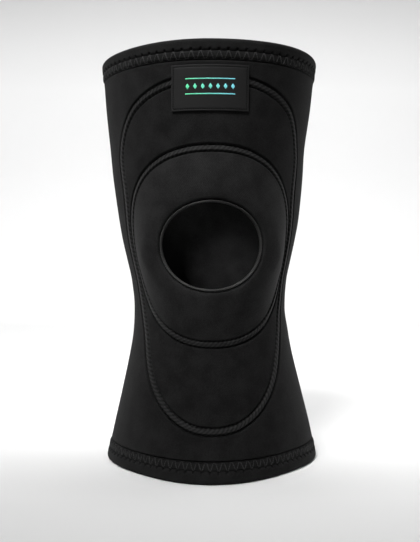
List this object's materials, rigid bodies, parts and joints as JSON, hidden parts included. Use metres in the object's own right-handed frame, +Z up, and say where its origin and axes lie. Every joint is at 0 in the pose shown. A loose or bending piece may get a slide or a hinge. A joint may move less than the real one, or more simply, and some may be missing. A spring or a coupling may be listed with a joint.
{
  "type": "knee sleeve",
  "caption": "Waisted tubular knee sleeve with stitched hems, a long front panel and a domed cup round an opening for the kneecap; worn over the knee to warm and support it.",
  "frame": {"origin": "Centre of the lower rim's outline, on the plane that the lower rim stands on", "axes": "+Z up along the leg towards the thigh, -Y forwards through the opening for the kneecap, +X to the right of a person looking at the front"},
  "size_m": [0.151, 0.1531, 0.275],
  "materials": {
    "body_jersey": "matt black nylon jersey laminated to neoprene",
    "cup_jersey": "matt black nylon jersey on a moulded pad",
    "rim_binding": "matt black rolled edge",
    "seam_thread": "black textured polyester cover stitch",
    "label_satin": "black woven satin with a low sheen"
  },
  "bodies": {
    "root": {"sleeve_shell": "body_jersey", "front_panel": "body_jersey", "top_hem": "body_jersey", "bottom_hem": "body_jersey", "knee_cup": "cup_jersey", "opening_rim": "rim_binding", "panel_seam": "seam_thread", "cup_seam": "seam_thread", "top_hem_stitching": "seam_thread", "bottom_hem_stitching": "seam_thread", "label": "label_satin"}
  },
  "joints": []
}
